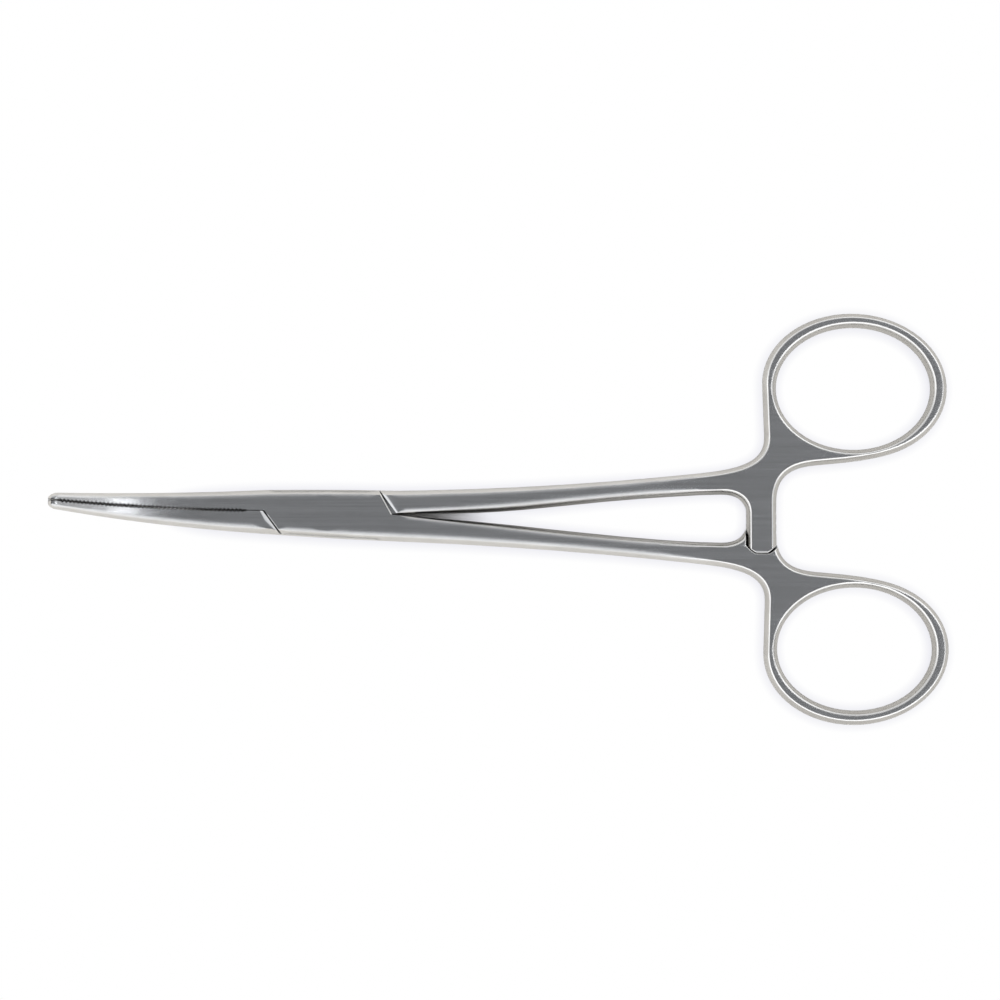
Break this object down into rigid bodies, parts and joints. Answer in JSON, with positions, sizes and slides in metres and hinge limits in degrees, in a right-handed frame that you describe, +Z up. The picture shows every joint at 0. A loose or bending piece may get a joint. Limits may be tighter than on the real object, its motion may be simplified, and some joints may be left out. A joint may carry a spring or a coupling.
{
  "type": "hemostatic forceps",
  "caption": "Curved artery forceps with a box lock: two crossed halves turn on a flush pin, with serrated jaws, finger rings and a ratchet.",
  "frame": {"origin": "on the pin's axis, at the underside of the box", "axes": "+X along the instrument towards the finger rings, +Y across it towards the male half's ring, +Z up along the pin's axis, the way the jaws curve"},
  "size_m": [0.1399, 0.0645, 0.0104],
  "materials": {
    "satin_steel": "satin, brushed lengthwise",
    "pin_steel": "ground flush with the cheeks and brushed with them"
  },
  "bodies": {
    "female_body": {"female_half": "satin_steel", "joint_pin": "pin_steel"},
    "male_body": {"male_half": "satin_steel"}
  },
  "joints": [
    {"name": "box_lock", "type": "hinge", "parent": "female_body", "child": "male_body", "pos_m": [0, 0, 0.0022], "axis": [0, 0, 1], "range_deg": [0, 38]}
  ]
}
